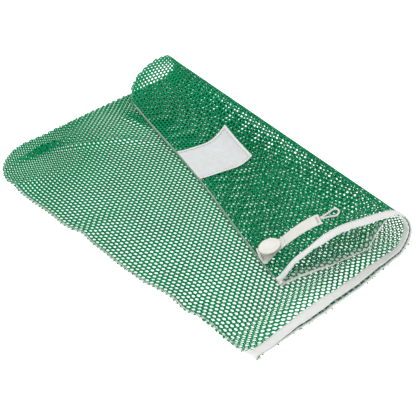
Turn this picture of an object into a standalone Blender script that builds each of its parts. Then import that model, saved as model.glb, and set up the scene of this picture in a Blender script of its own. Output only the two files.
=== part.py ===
"""Mesh produce bag, lying on a table with its back half folded over its front half.

Two panels of knitted netting are overlocked together along both sides and the closed end. The mouth
is open, and each panel's mouth edge is bound with folded tape. The back side seam carries a sewn-on
label patch and a closure strap: a tape with a rubber button at its root and an elastic loop at its tip.

Frame: +X runs from the closed end to the mouth, +Y from the front side seam to the fold, +Z is up.
A point of a panel has flat coordinates: u along the bag and v across it, from the front side seam.
Layer 0 is the outer panel, which lies on the table, and layer 1 is the inner one.
"""

import math

import bmesh
import bpy
import numpy as np

# Driving dimensions, in metres and radians.
BAG_LENGTH = 0.610
BAG_WIDTH = 0.5675
PLAN_CENTRE = (0.3072, 0.20665)

NET_THICKNESS = 0.0014
TAPE_THICKNESS = 0.0005
GAP = 0.0003  # clearance between pieces that touch
LAYER_PITCH = 0.0018  # between the two panels' middles
EDGE_RISE = 0.0009  # the sewn edges are thicker, so the netting rises to meet them
EDGE_RISE_WIDTH = 0.012
MOUTH_PITCH = 0.0034  # near the mouth, where each panel carries its binding
MOUTH_LIFT = 0.0018  # and the inner panel's mouth stands off the outer one's by this much more
MOUTH_LIFT_LENGTH = 0.055
MOUTH_BULGE = 0.0045  # on the base, the outer panel's mouth edge bulges out by this much
MOUTH_CURL = 0.0030  # and on the flap it curls back by this much
MOUTH_SETBACK = 0.004  # and at the roll, the inner panel's lies this far inside the outer one's

FOLD_TURN = math.radians(10.8)  # angle of the fold to the side seams, in plan
FOLD_START = 0.3967  # where the roll leaves the table at the closed end
ROLL_RADIUS_END = 0.0247
ROLL_RADIUS_MOUTH = 0.0304
SPLIT_GAP = 0.0005  # between the base half and the flap half, at the fold

FLAP_EDGE_HEIGHT = 0.0072  # middle of the outer panel at the flap's free edge
FLAP_EDGE_HEIGHT_ENDS = 0.0090  # where bindings or the end seam add to the stack
FLAP_EDGE_EASE = 0.08  # how softly the flap meets the base
FALL_END = 1.04  # how fast the flap falls from the roll: low is an arch, high is a steep drop
FALL_MIDDLE = 7.3
FALL_MOUTH = 0.8
MIDDLE_AT = 0.567  # share of the length where the flap lies lowest
MOUTH_STACK_FROM = 0.80  # from this share on, the mouth's bindings thicken the stack
END_STACK_TO = 0.06  # and up to this share, the closed end's seam does
STACK_EASE = 0.10
SHELF_MOUTH = 0.423  # share of the flap that stays level at the mouth
MOUTH_RISE_POWER = 0.405
GAPE_FROM = 0.317  # share of the length where the two flap panels start to part
INNER_FLOOR = 0.0108  # height of the inner panel at the foot of its drop
INNER_DROP = 0.20
END_PULL = 0.0458  # the flap's closed end is drawn towards the mouth
MOUTH_PULL = 0.016  # and its mouth corner is drawn outwards

END_DRAWN = 0.0050
END_DRAWN_AT = 0.125
END_DRAWN_WIDTH = 0.055
END_DRAWN_REACH = 0.10
FRONT_WAVES_REACH = 0.12
# The front seam's gentle waves: each one's u, half-width and reach outwards.
FRONT_WAVES = (
    (0.095, 0.020, -0.0055), (0.225, 0.022, 0.0030), (0.262, 0.014, -0.0040), (0.370, 0.055, 0.0055),
    (0.405, 0.014, 0.0018), (0.483, 0.018, 0.0052), (0.578, 0.036, 0.0075),
)
FRONT_CORNER_RADIUS = 0.105  # of the closed end's corner at the front side seam
BACK_CORNER_RADIUS = 0.050  # and at the back side seam
SEAM_WIDTH = 0.0045
SEAM_OVERHANG = 0.0010
BINDING_WIDTH = 0.0132
TAPE_ROLLED = 0.40  # share of the tape's width that rolls under at the back corner
TAPE_PINCHED = 0.22  # how much narrower the inner panel's tape is drawn at the front corner
BINDING_TURN = 0.0030  # how far the tape turns over to the panel's inner face
BINDING_START = 0.009  # from the front side seam

PATCH_SIZE = (0.0915, 0.0980)
PATCH_START = 0.2328
PATCH_SKEW = 0.0060  # its far side lies this much closer to the mouth
PATCH_HEM = 0.0050

STRAP_WIDTH = 0.0222
STRAP_THICKNESS = 0.0011
STRAP_ROOT = (0.5451, 0.5675)
STRAP_TIP = (0.5676, 0.4690)
STRAP_ROOT_FLARE = 0.0400
STRAP_FLARE_LENGTH = 0.030
STRAP_HINGE_AT = 0.0445  # along the strap, from the seam
BUTTON_AT = 0.0215
BUTTON_RADIUS = 0.0160
BUTTON_THICKNESS = 0.0042
BUTTON_CLEARANCE = 0.0060  # from the strap to the button's underside
BUTTON_LEAN = 0.85  # the upright direction's weight against the strap's normal
LOOP_LENGTH = 0.0295
LOOP_LEAN = 0.0080  # how far the elastic's tip lies to one side
LOOP_WIDTH = 0.0146
ELASTIC_RADIUS = 0.00135
LOOP_TURN = math.radians(118.0)  # how far round its tip the elastic is bent, each way
THREAD_RADIUS = 0.00035
TACK_RADIUS = 0.0006
TACK_INSET = 0.0048  # from the strap's end
SHANK_RADIUS = 0.0022
SHANK_SHORT = 0.0012  # how much shorter the shank is than the space under the leaning disc

NET_GREEN = (0.0, 0.245, 0.105, 1.0)
SEAM_WHITE = (0.62, 0.68, 0.64, 1.0)
TAPE_WHITE = (0.80, 0.81, 0.82, 1.0)
STRAP_WHITE = (0.83, 0.82, 0.79, 1.0)
PATCH_GREY = (0.72, 0.74, 0.74, 1.0)
RUBBER_WHITE = (0.80, 0.79, 0.74, 1.0)

SHELL_LIFT = NET_THICKNESS / 2 + GAP + TAPE_THICKNESS / 2  # middle of a tape over the netting's middle
SLICES = np.linspace(-0.08, BAG_LENGTH + 0.04, 49)
STEPS = np.linspace(0.0, 1.0, 161)
ALONG = np.array([math.cos(FOLD_TURN), -math.sin(FOLD_TURN)])
ACROSS = np.array([math.sin(FOLD_TURN), math.cos(FOLD_TURN)])


def smooth(x):
    x = np.clip(x, 0.0, 1.0)
    return x * x * (3.0 - 2.0 * x)


def between(a, b, share):
    return a + (b - a) * share


# The folded shape. The roll is a half turn about a line at FOLD_TURN, and past it the flap falls back
# to the base. Distances a run along the fold from the closed end.


def roll_radius(a):
    return between(ROLL_RADIUS_END, ROLL_RADIUS_MOUTH, a / BAG_LENGTH)


def layer_pitch(a):
    """Between the two panels' middles, on the roll and the flap."""
    return between(LAYER_PITCH, MOUTH_PITCH, smooth((a / BAG_LENGTH - MOUTH_STACK_FROM) / STACK_EASE))


def flap_width(a):
    """Cloth from the roll's top to the flap's free edge, in the slice at a."""
    whole = (BAG_WIDTH - FOLD_START + a * math.sin(FOLD_TURN)) / math.cos(FOLD_TURN)
    return whole - math.pi * roll_radius(a)


def by_length(reach, height):
    """The same curve with its points spread evenly along its length, as distance and height."""
    run = np.concatenate([[0.0], np.cumsum(np.hypot(np.diff(reach), np.diff(height)))])
    run /= run[-1]
    return np.stack([np.interp(STEPS, run, reach), np.interp(STEPS, run, height)], -1)


def flap_slice(a):
    """Both panels of the flap in the slice at a, each as distances back from the fold and heights."""
    share = min(max(a / BAG_LENGTH, 0.0), 1.0)
    rise = smooth((share - MIDDLE_AT) / (1.0 - MIDDLE_AT)) ** MOUTH_RISE_POWER
    fall = between(FALL_END, FALL_MIDDLE, smooth(share / MIDDLE_AT)) + (FALL_MOUTH - FALL_MIDDLE) * rise
    shelf = SHELF_MOUTH * rise
    y = np.clip((STEPS - shelf) / (1.0 - shelf), 0.0, 1.0)
    drop = (1.0 - y) ** fall * (1.0 + fall * y)
    ease = FLAP_EDGE_EASE
    drop = (np.sqrt(drop**2 + ease**2) - ease) / (math.sqrt(1.0 + ease**2) - ease)
    top = NET_THICKNESS / 2 + 2.0 * roll_radius(a)
    at_mouth = smooth((share - MOUTH_STACK_FROM) / STACK_EASE)
    at_closed_end = 1.0 - smooth((share - END_STACK_TO) / STACK_EASE)
    edge = between(FLAP_EDGE_HEIGHT, FLAP_EDGE_HEIGHT_ENDS, max(at_mouth, at_closed_end))
    pitch = layer_pitch(a)
    outer = between(edge, top, drop)
    reach = flap_width(a)
    for _ in range(12):
        reach *= flap_width(a) / np.hypot(np.diff(STEPS) * reach, np.diff(outer)).sum()
    slope = np.gradient(outer, STEPS * reach)
    stacked = outer - pitch * np.sqrt(1.0 + slope**2)
    lying = between(INNER_FLOOR, edge - pitch, STEPS)
    dropped = (1.0 - np.minimum(STEPS / INNER_DROP, 1.0) ** 2) ** 2
    hanging = between(lying, top - pitch, dropped)
    gape = smooth((share - GAPE_FROM) / (1.0 - GAPE_FROM))
    inner = np.minimum(between(stacked, hanging, gape), stacked)
    return by_length(-STEPS * reach, outer), by_length(-STEPS * reach, inner)


FLAP_TABLE = np.array([flap_slice(a) for a in SLICES])


def flap_lookup(a, share, layer):
    i = np.clip((a - SLICES[0]) / (SLICES[1] - SLICES[0]), 0, len(SLICES) - 1.001)
    j = np.clip(share * (len(STEPS) - 1), 0, len(STEPS) - 1.001)
    i0, j0 = i.astype(int), j.astype(int)
    fi, fj = (i - i0)[..., None], (j - j0)[..., None]
    table = FLAP_TABLE[:, layer]
    near = between(table[i0, j0], table[i0, j0 + 1], fj)
    far = between(table[i0 + 1, j0], table[i0 + 1, j0 + 1], fj)
    return between(near, far, fi)


def near_mouth(u):
    return smooth((u - (BAG_LENGTH - MOUTH_LIFT_LENGTH)) / (0.6 * MOUTH_LIFT_LENGTH))


def base_pitch(u, v, a, t):
    """Between the two panels' middles on the base half, at a distance -t from the roll."""
    at_roll = layer_pitch(a) * smooth(1.0 + t / 0.05)
    over_table = between(LAYER_PITCH, MOUTH_PITCH, near_mouth(u))
    lift = MOUTH_LIFT * near_mouth(u) * smooth(v / 0.08) * smooth(-t / 0.06)
    return np.maximum(over_table, at_roll) + lift


def edge_rise(u, v):
    """The netting's rise at the mouth, the front seam and the closed end."""
    radius = FRONT_CORNER_RADIUS
    in_corner = np.hypot(np.maximum(radius - u, 0.0), np.maximum(radius - v, 0.0))
    from_edge = np.minimum(np.maximum(u, radius), np.maximum(v, radius)) - in_corner
    from_edge = np.minimum(from_edge - SEAM_WIDTH, BAG_LENGTH - u - BINDING_WIDTH)
    return EDGE_RISE * (1.0 - smooth((from_edge - 0.001) / EDGE_RISE_WIDTH))


def pulled(u, v):
    """u with the flap's drawn corners."""
    share = np.clip((v - FOLD_START) / (BAG_WIDTH - FOLD_START), 0.0, 1.0)
    return u + share * between(END_PULL, MOUTH_PULL, u / BAG_LENGTH)


def front_sway(u, v):
    """How far the front seam's gentle waves move the cloth outwards."""
    out = sum(reach * np.exp(-(((u - at) / width) ** 2)) for at, width, reach in FRONT_WAVES)
    return out * (1.0 - smooth(v / FRONT_WAVES_REACH))


def end_sway(u, v):
    """How far the closed end is drawn inwards beside its front corner."""
    beside = np.exp(-(((v - END_DRAWN_AT) / END_DRAWN_WIDTH) ** 2))
    return END_DRAWN * beside * (1.0 - smooth(u / END_DRAWN_REACH))


def place(u, v, layer):
    """The point of a panel's middle surface at flat (u, v)."""
    u, v = np.broadcast_arrays(np.asarray(u, float), np.asarray(v, float))
    if np.any(v > BAG_WIDTH):
        inside = np.minimum(v, BAG_WIDTH)
        step = 0.002
        edge, before = place(u, inside, layer), place(u, inside - step, layer)
        return edge + (edge - before) / step * (v - inside)[..., None]
    flat = np.stack([pulled(u, v), v - FOLD_START], -1)
    a, t = flat @ ALONG, flat @ ACROSS
    outer_radius = roll_radius(a)
    pitch = layer_pitch(a) * layer
    radius = outer_radius - pitch
    angle = np.clip(t / radius, 0.0, math.pi)
    reach = np.where(t < 0, t, radius * np.sin(angle))
    rolled = outer_radius - radius * np.cos(angle)
    height = NET_THICKNESS / 2 + np.where(t < 0, layer * base_pitch(u, v, a, t), rolled)
    share = (t - math.pi * radius) / (flap_width(a) + math.pi * pitch)
    flap = flap_lookup(a, np.clip(share, 0.0, 1.0), layer)
    on_flap = t > math.pi * radius
    reach = np.where(on_flap, flap[..., 0], reach)
    height = np.where(on_flap, flap[..., 1], height) + edge_rise(u, v)
    plan = a[..., None] * ALONG + reach[..., None] * ACROSS
    x = plan[..., 0] - PLAN_CENTRE[0] + end_sway(u, v)
    y = plan[..., 1] + FOLD_START - PLAN_CENTRE[1] - front_sway(u, v)
    return np.stack([x, y, height], -1)


def normal(u, v, layer):
    """Unit normal of a panel, on the outer panel's table side turned to face away from the bag."""
    step = 0.0015
    along = place(u + step, v, layer) - place(u - step, v, layer)
    across = place(u, v + step, layer) - place(u, v - step, layer)
    n = np.cross(along, across)
    return n / np.linalg.norm(n, axis=-1, keepdims=True)


def lifted(u, v, layer, lift):
    """place(), moved by lift along the normal: up on the base half and down on the flap."""
    u, v = np.broadcast_arrays(np.asarray(u, float), np.asarray(v, float))
    return place(u, v, layer) + np.asarray(lift)[..., None] * normal(u, v, layer)


def width_at(u, row, layer):
    """v of a row: 0 to 1 is the base, 1 to 2 the roll by angle, and 2 to 3 the flap."""
    u, row = np.broadcast_arrays(np.asarray(u, float), np.asarray(row, float))
    v = np.full(u.shape, FOLD_START)
    for _ in range(12):
        shifted = pulled(u, v)
        a = shifted * math.cos(FOLD_TURN) - (v - FOLD_START) * math.sin(FOLD_TURN)
        t = math.pi * (roll_radius(a) - layer_pitch(a) * layer) * np.clip(row - 1.0, 0.0, 1.0)
        v = FOLD_START + (t - shifted * math.sin(FOLD_TURN)) / math.cos(FOLD_TURN)
    v = np.where(row < 1.0, v * row, v)
    return np.where(row > 2.0, v + (BAG_WIDTH - v) * (row - 2.0), v)


def split_row(side):
    """The row of the fold's outermost line, moved half of the split's gap to one side."""
    return 1.5 + side * SPLIT_GAP / 2 / (math.pi * ROLL_RADIUS_END)


# Blender helpers.


def clear_scene():
    for ob in list(bpy.data.objects):
        bpy.data.objects.remove(ob, do_unlink=True)


def make_collection(name):
    collection = bpy.data.collections.new(name)
    bpy.context.scene.collection.children.link(collection)
    return collection


def material(name, colour, roughness):
    m = bpy.data.materials.get(name)
    if m is None:
        m = bpy.data.materials.new(name)
        m.use_nodes = True
        shader = m.node_tree.nodes["Principled BSDF"]
        shader.inputs["Base Color"].default_value = colour
        shader.inputs["Roughness"].default_value = roughness
        shader.inputs["Metallic"].default_value = 0.0
        m.diffuse_color = colour
    return m


def pivot(name, point):
    """An empty on a joint's axis, which the moving pieces hang from."""
    empty = bpy.data.objects.new(name, None)
    empty.location = point
    PARTS.objects.link(empty)
    return empty


def add_piece(name, data, mat, parent):
    """Links an object whose data is in world coordinates, and hangs it from its pivot."""
    ob = bpy.data.objects.new(name, data)
    data.materials.append(material(*mat))
    PARTS.objects.link(ob)
    if parent is not None:
        ob.parent = parent
        ob.matrix_parent_inverse.identity()
        ob.location = tuple(-c for c in parent.matrix_basis.translation)
    return ob


def shell(name, points, thickness, mat, parent=None):
    """A grid surface through points[i][j], given its thickness by Solidify."""
    rows, columns = points.shape[:2]
    bm = bmesh.new()
    bmesh.ops.create_grid(bm, x_segments=rows - 1, y_segments=columns - 1, size=0.5)
    for vert in bm.verts:
        i = round((vert.co.x + 0.5) * (rows - 1))
        j = round((vert.co.y + 0.5) * (columns - 1))
        vert.co = points[i, j]
    mesh = bpy.data.meshes.new(name)
    bm.to_mesh(mesh)
    bm.free()
    mesh.shade_smooth()
    ob = add_piece(name, mesh, mat, parent)
    solid = ob.modifiers.new("thickness", "SOLIDIFY")
    solid.thickness = thickness
    solid.offset = 0.0
    solid.use_even_offset = True
    return ob


def tube(name, points, radius, mat, parent=None):
    """A round thread or cord through the points, with closed ends."""
    curve = bpy.data.curves.new(name, "CURVE")
    curve.dimensions = "3D"
    curve.bevel_depth = radius
    curve.bevel_resolution = 2
    curve.use_fill_caps = True
    spline = curve.splines.new("POLY")
    spline.points.add(len(points) - 1)
    for point, co in zip(spline.points, points):
        point.co = (*co, 1.0)
    return add_piece(name, curve, mat, parent)


GREEN_NET = ("green_netting", NET_GREEN, 0.55)
SEAM_THREAD = ("overlock_thread", SEAM_WHITE, 0.80)
BINDING_TAPE = ("binding_tape", TAPE_WHITE, 0.75)
SEWING_THREAD = ("sewing_thread", TAPE_WHITE, 0.70)
STRAP_TAPE = ("strap_tape", STRAP_WHITE, 0.75)
PATCH_CLOTH = ("patch_cloth", PATCH_GREY, 0.70)
HEM_CLOTH = ("hem_cloth", TAPE_WHITE, 0.70)
RUBBER = ("button_rubber", RUBBER_WHITE, 0.45)
ELASTIC = ("elastic_cord", STRAP_WHITE, 0.65)

# The rows and columns that every piece shares, so that facets of touching pieces stay parallel.
CORNER_ANGLES = np.radians(np.linspace(0.0, 90.0, 9))
CORNER_ROWS = FRONT_CORNER_RADIUS * (1.0 - np.cos(CORNER_ANGLES))
BASE_ROWS = np.concatenate([np.linspace(0.40, 1.0, 7), np.linspace(1.0, split_row(-1), 7)[1:]])
FLAP_ROWS = np.concatenate([
    np.linspace(split_row(1), 2.0, 7), np.linspace(2.0, 2.3, 13)[1:], np.linspace(2.3, 2.82, 8)[1:],
    (2.87, 2.91, 2.945, 2.968, 2.986, 3.0),
])
COLUMNS = np.concatenate([
    (0.0, 0.0075, 0.03), np.linspace(0.0, 0.8, 13)[1:], (0.85, 0.89, 0.925, 0.95, 0.978, 1.0),
])


def base_rows(u, layer):
    """v of the base's rows, for each u of the last axis or for one u."""
    far = width_at(np.asarray(u)[..., -len(BASE_ROWS) :] if np.ndim(u) else u, BASE_ROWS, layer)
    near = np.broadcast_to(CORNER_ROWS, far.shape[:-1] + CORNER_ROWS.shape)
    return np.concatenate([near, far], -1)


def flap_rows(u, layer):
    return width_at(u, FLAP_ROWS, layer)


def flap_rows_short(u, layer):
    """v of the flap's rows at one u, ending just short of the back side seam."""
    v = width_at(u, FLAP_ROWS[FLAP_ROWS < 2.92], layer)
    return np.append(v, BAG_WIDTH - SEAM_WIDTH - 0.0012)


def closed_edge(v):
    """u of the closed end's edge, which rounds off to both side seams."""
    edge = 0.0
    for radius, from_side in ((FRONT_CORNER_RADIUS, v), (BACK_CORNER_RADIUS, BAG_WIDTH - v)):
        inside = np.clip(radius - from_side, 0.0, radius)
        edge = edge + radius - np.sqrt(radius**2 - inside**2)
    return edge


def mouth_edge(v, layer):
    """u of a panel's mouth edge."""
    v = np.asarray(v, float)
    if layer == 0:
        bulge = MOUTH_BULGE * smooth(v / 0.15) * (1.0 - smooth((v - 0.20) / 0.07))
        return BAG_LENGTH + bulge - MOUTH_CURL * smooth((v - 0.49) / 0.06)
    return BAG_LENGTH - MOUTH_SETBACK * smooth((v - 0.20) / 0.07) * (1.0 - smooth((v - FOLD_START) / 0.1))


def net_panel(name, rows, layer, parent=None):
    """One half of a netting panel, from its closed end to its mouth edge."""
    v = np.tile(rows(0.5 * BAG_LENGTH, layer), (len(COLUMNS), 1))
    for _ in range(6):
        u = between(closed_edge(v), mouth_edge(v, layer) - GAP, COLUMNS[:, None])
        v = rows(u, layer)
    return shell(name, place(u, v, layer), NET_THICKNESS, GREEN_NET, parent)


def make_nets(flap):
    for layer, which in enumerate(("outer", "inner")):
        net_panel(f"base_{which}_net", base_rows, layer)
        net_panel(f"flap_{which}_net", flap_rows, layer, flap)


# Seams and bindings: each wraps an edge, as rows of points at depths in from that edge.


def seam_wrap(name, edge, mat, parent=None):
    """A wrap round both panels' edges. edge(depth, layer) gives the (u, v) of one row."""
    half = 0.55 * NET_THICKNESS
    profile = (
        (SEAM_WIDTH, 0, -SHELL_LIFT), (0.0004, 0, -SHELL_LIFT), (-SEAM_OVERHANG, 0, -half),
        (-SEAM_OVERHANG, 1, half), (0.0004, 1, SHELL_LIFT), (SEAM_WIDTH, 1, SHELL_LIFT),
    )
    rows = [lifted(*edge(depth, layer), layer, lift) for depth, layer, lift in profile]
    return shell(name, np.stack(rows, 1), TAPE_THICKNESS, mat, parent)


def side_edge(u, v_edge, inward):
    return lambda depth, layer: (u, v_edge + inward * depth)


def base_end_edge(depth, layer):
    """The closed end on the base, with its round corner."""
    radius, bend = FRONT_CORNER_RADIUS, FRONT_CORNER_RADIUS - depth
    u = np.append(radius - bend * np.sin(CORNER_ANGLES), 0.0 * BASE_ROWS + depth)
    v = np.append(radius - bend * np.cos(CORNER_ANGLES), width_at(depth, BASE_ROWS, layer))
    return u, v


def flap_end_edge(depth, layer):
    """The closed end on the flap, with its round corner, whose rows are the netting's."""
    edge_v = width_at(0.0, FLAP_ROWS, layer)
    past = np.maximum(edge_v - (BAG_WIDTH - BACK_CORNER_RADIUS), 0.0)
    angle = np.arcsin(np.minimum(past / BACK_CORNER_RADIUS, 1.0))
    return closed_edge(edge_v) + depth * np.cos(angle), edge_v - depth * np.sin(angle)


def make_seams(flap):
    last = BAG_LENGTH - BINDING_WIDTH - 0.003
    front_u = between(FRONT_CORNER_RADIUS + 2 * GAP, BAG_LENGTH, COLUMNS)
    front_u = np.append(front_u[front_u < last - 0.003], last)
    seam_wrap("front_side_seam", side_edge(front_u, 0.0, 1.0), SEAM_THREAD)
    seam_wrap("base_end_seam", base_end_edge, SEAM_THREAD)
    seam_wrap("flap_end_seam", flap_end_edge, SEAM_THREAD, flap)
    back_u = between(BACK_CORNER_RADIUS + 2 * GAP, BAG_LENGTH, COLUMNS)
    back_u = np.append(back_u[back_u < last - 0.003], last)
    seam_wrap("back_side_seam", side_edge(back_u, BAG_WIDTH, -1.0), SEAM_THREAD, flap)


def binding_line(half, layer, depth):
    """(u, v) along a panel's mouth edge, at a depth in from it."""
    if half == "flap":
        v = flap_rows_short(BAG_LENGTH - depth, layer)
    else:
        v = base_rows(BAG_LENGTH - depth, layer)
        v = np.append(BINDING_START, v[v > BINDING_START])
    return mouth_edge(v, layer) - depth * tape_share(v, layer), v


def tape_share(v, layer):
    """The tape's width on show: it rolls under at the back corner and, on the inner panel, at the roll."""
    if layer == 0:
        return 1.0 - TAPE_ROLLED * smooth((v - 0.46) / 0.08)
    pinched = TAPE_PINCHED * (1.0 - smooth((v - 0.02) / 0.05))
    return 1.0 - pinched - TAPE_ROLLED * smooth((v - 0.12) / 0.20) * (1.0 - smooth((v - 0.41) / 0.08))


def binding(half, which, layer, parent=None):
    """Tape on a panel's outer face, turned over its mouth edge and held by a row of stitches."""
    out = SHELL_LIFT if layer else -SHELL_LIFT
    profile = (
        (BINDING_WIDTH, out), (0.0004, out), (-SEAM_OVERHANG, 0.5 * out),
        (-SEAM_OVERHANG, -0.5 * out), (0.0004, -out), (BINDING_TURN, -out),
    )
    rows = [lifted(*binding_line(half, layer, depth), layer, lift) for depth, lift in profile]
    shell(f"{half}_{which}_binding", np.stack(rows, 1), TAPE_THICKNESS, BINDING_TAPE, parent)
    if (half, which) != ("base", "outer"):
        lift = out + math.copysign(TAPE_THICKNESS / 2 + GAP + THREAD_RADIUS, out)
        stitches = lifted(*binding_line(half, layer, BINDING_WIDTH - 0.0025), layer, lift)
        tube(f"{half}_{which}_binding_stitches", stitches, THREAD_RADIUS, SEWING_THREAD, parent)


def corner_tape(name, v_edge, inward, parent=None):
    """The binding tape's turned end, which closes the mouth's corner over both panels."""
    u = BAG_LENGTH - np.array([BINDING_WIDTH + 0.0012, BINDING_WIDTH, 0.0006])
    seam_wrap(name, side_edge(u, v_edge, inward), BINDING_TAPE, parent)


def make_bindings(flap):
    for layer, which in enumerate(("outer", "inner")):
        binding("base", which, layer)
        binding("flap", which, layer, flap)
    corner_tape("front_corner_tape", 0.0, 1.0)
    corner_tape("back_corner_tape", BAG_WIDTH, -1.0, flap)


# The label patch, on the flap's outer panel at the back side seam.


def over_seam(v):
    """Extra lift of a piece where it passes over the back side seam."""
    return (TAPE_THICKNESS + GAP) * smooth((v - (BAG_WIDTH - SEAM_WIDTH - 0.005)) / 0.003)


PATCH_LIFT = SHELL_LIFT + 2 * GAP


def patch_lines():
    """The patch's own grid: u along the seam and v away from it."""
    width, depth = PATCH_SIZE
    u = np.linspace(PATCH_START, PATCH_START + width, 8)
    v = np.linspace(BAG_WIDTH - depth, BAG_WIDTH - 0.011, 15)
    return u, np.append(v, (BAG_WIDTH - 0.005, BAG_WIDTH))


def hem_path(inset):
    """The patch's three free sides as one path of (u, v), moved inwards by inset."""
    u, v = patch_lines()
    far = v[0] + inset
    side = np.append(far, v[1:])[::-1]
    over = u[1:-1]
    path_u = np.concatenate([0.0 * side + u[0] + inset, over, 0.0 * side + u[-1] - inset])
    return path_u, np.concatenate([side, 0.0 * over + far, side[::-1]])


def on_patch(u, v, lift):
    """A point on the patch's skewed grid, at a lift over the netting's middle."""
    skew = PATCH_SKEW * (BAG_WIDTH - v) / PATCH_SIZE[1]
    return lifted(u + skew, v, 0, -(lift + over_seam(v)))


def make_patch(flap):
    u, v = np.meshgrid(*patch_lines(), indexing="ij")
    shell("id_patch", on_patch(u, v, PATCH_LIFT), TAPE_THICKNESS, PATCH_CLOTH, flap)

    hem_lift = PATCH_LIFT + TAPE_THICKNESS + GAP
    u, v = (np.stack(pair, 1) for pair in zip(hem_path(0.0), hem_path(PATCH_HEM)))
    shell("id_patch_hem", on_patch(u, v, hem_lift), TAPE_THICKNESS, HEM_CLOTH, flap)

    stitch_lift = hem_lift + TAPE_THICKNESS / 2 + GAP + THREAD_RADIUS
    stitches = on_patch(*hem_path(0.72 * PATCH_HEM), stitch_lift)
    tube("id_patch_stitches", stitches, THREAD_RADIUS, SEWING_THREAD, flap)


# The closure strap, its button and its elastic loop.


def strap_uv(s, x):
    """Flat (u, v) at s along the strap from the seam and x across it, towards the mouth."""
    root, tip = np.array(STRAP_ROOT), np.array(STRAP_TIP)
    along = (tip - root) / np.linalg.norm(tip - root)
    s, x = np.broadcast_arrays(np.asarray(s, float), np.asarray(x, float))
    return root[0] + along[0] * s - along[1] * x, root[1] + along[1] * s + along[0] * x


def strap_length():
    return math.dist(STRAP_ROOT, STRAP_TIP)


STRAP_LIFT = NET_THICKNESS / 2 + GAP + STRAP_THICKNESS / 2


def strap_point(s, x, extra=0.0):
    u, v = strap_uv(s, x)
    v = np.minimum(v, BAG_WIDTH)
    return lifted(u, v, 0, -(STRAP_LIFT + over_seam(v) + extra))


def half_width(s):
    """Half of the strap's width, which flares where it is sewn into the seam."""
    flare = 1.0 - smooth(np.asarray(s) / STRAP_FLARE_LENGTH)
    return between(STRAP_WIDTH / 2, STRAP_ROOT_FLARE / 2, flare)


def unit(vector):
    return vector / np.linalg.norm(vector)


def make_strap(flap, strap):
    root_s = np.append([2 * GAP, 0.004, 0.010], np.linspace(0.016, STRAP_HINGE_AT - GAP, 6))
    sides = np.linspace(-1.0, 1.0, 5)
    root = strap_point(root_s[:, None], sides * half_width(root_s)[:, None])
    shell("strap_root", root, STRAP_THICKNESS, STRAP_TAPE, flap)

    free_s = np.linspace(STRAP_HINGE_AT + GAP, strap_length(), 9)
    free = strap_point(free_s[:, None], sides * STRAP_WIDTH / 2 + 0.0 * free_s[:, None])
    shell("closure_strap", free, STRAP_THICKNESS, STRAP_TAPE, strap)

    over = STRAP_THICKNESS / 2 + GAP + TACK_RADIUS
    for name, s, reach, parent in (
        ("strap_root_tack", TACK_INSET, 0.0125, flap),
        ("strap_end_tack", strap_length() - TACK_INSET, 0.0075, strap),
    ):
        tack = strap_point(s, np.linspace(-reach, reach, 7), over)
        tube(name, tack, TACK_RADIUS, SEWING_THREAD, parent)


def button_frame():
    """The button's seat on the strap: its place and its three unit axes, the last one facing up."""
    reach = 0.8 * BUTTON_RADIUS
    ahead, behind = strap_point(BUTTON_AT + reach, 0.0), strap_point(BUTTON_AT - reach, 0.0)
    right, left = strap_point(BUTTON_AT, reach), strap_point(BUTTON_AT, -reach)
    up = unit(np.cross(right - left, ahead - behind))
    x_axis = unit(np.cross(ahead - behind, up))
    return strap_point(BUTTON_AT, 0.0) + up * STRAP_THICKNESS / 2, x_axis, np.cross(up, x_axis), up


def disc_frame():
    """The disc's frame: it leans on its thread, from the strap's normal towards upright."""
    centre, x_axis, _, up = button_frame()
    axis = unit(up + np.array([0.0, 0.0, BUTTON_LEAN]))
    x_axis = unit(x_axis - axis * np.dot(x_axis, axis))
    return centre, x_axis, np.cross(axis, x_axis), axis


def turned(name, profile, seat, height, mat, parent):
    """A solid of revolution about the button's axis: profile is (radius, height) from the axis out."""
    centre, x_axis, y_axis, up = seat
    bm = bmesh.new()
    verts = [bm.verts.new(centre + x_axis * r + up * (height + h)) for r, h in profile]
    for a, b in zip(verts, verts[1:]):
        bm.edges.new((a, b))
    bmesh.ops.spin(
        bm, geom=bm.verts[:] + bm.edges[:], cent=centre, axis=up, angle=2 * math.pi, steps=28,
        use_merge=True,
    )
    bmesh.ops.remove_doubles(bm, verts=bm.verts, dist=1e-5)
    bmesh.ops.recalc_face_normals(bm, faces=bm.faces)
    mesh = bpy.data.meshes.new(name)
    bm.to_mesh(mesh)
    bm.free()
    mesh.shade_smooth()
    mesh.set_sharp_from_angle(angle=math.radians(40))
    return add_piece(name, mesh, mat, parent)


def make_button(flap, button):
    r, t = BUTTON_RADIUS, BUTTON_THICKNESS
    disc = (
        (0.0, 0.0), (0.62 * r, 0.0), (0.90 * r, 0.16 * t), (r, 0.48 * t), (0.965 * r, 0.78 * t),
        (0.86 * r, 0.96 * t), (0.62 * r, 0.98 * t), (0.28 * r, 0.84 * t), (0.12 * r, 0.70 * t),
        (0.0, 0.66 * t),
    )
    turned("button_disc", disc, disc_frame(), BUTTON_CLEARANCE, RUBBER, button)
    top = BUTTON_CLEARANCE - SHANK_SHORT
    waist = 0.85 * SHANK_RADIUS
    post = ((0.0, 0.0), (SHANK_RADIUS, 0.0), (waist, top / 2), (SHANK_RADIUS, top), (0.0, top))
    turned("button_shank", post, button_frame(), GAP, SEWING_THREAD, flap)


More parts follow.
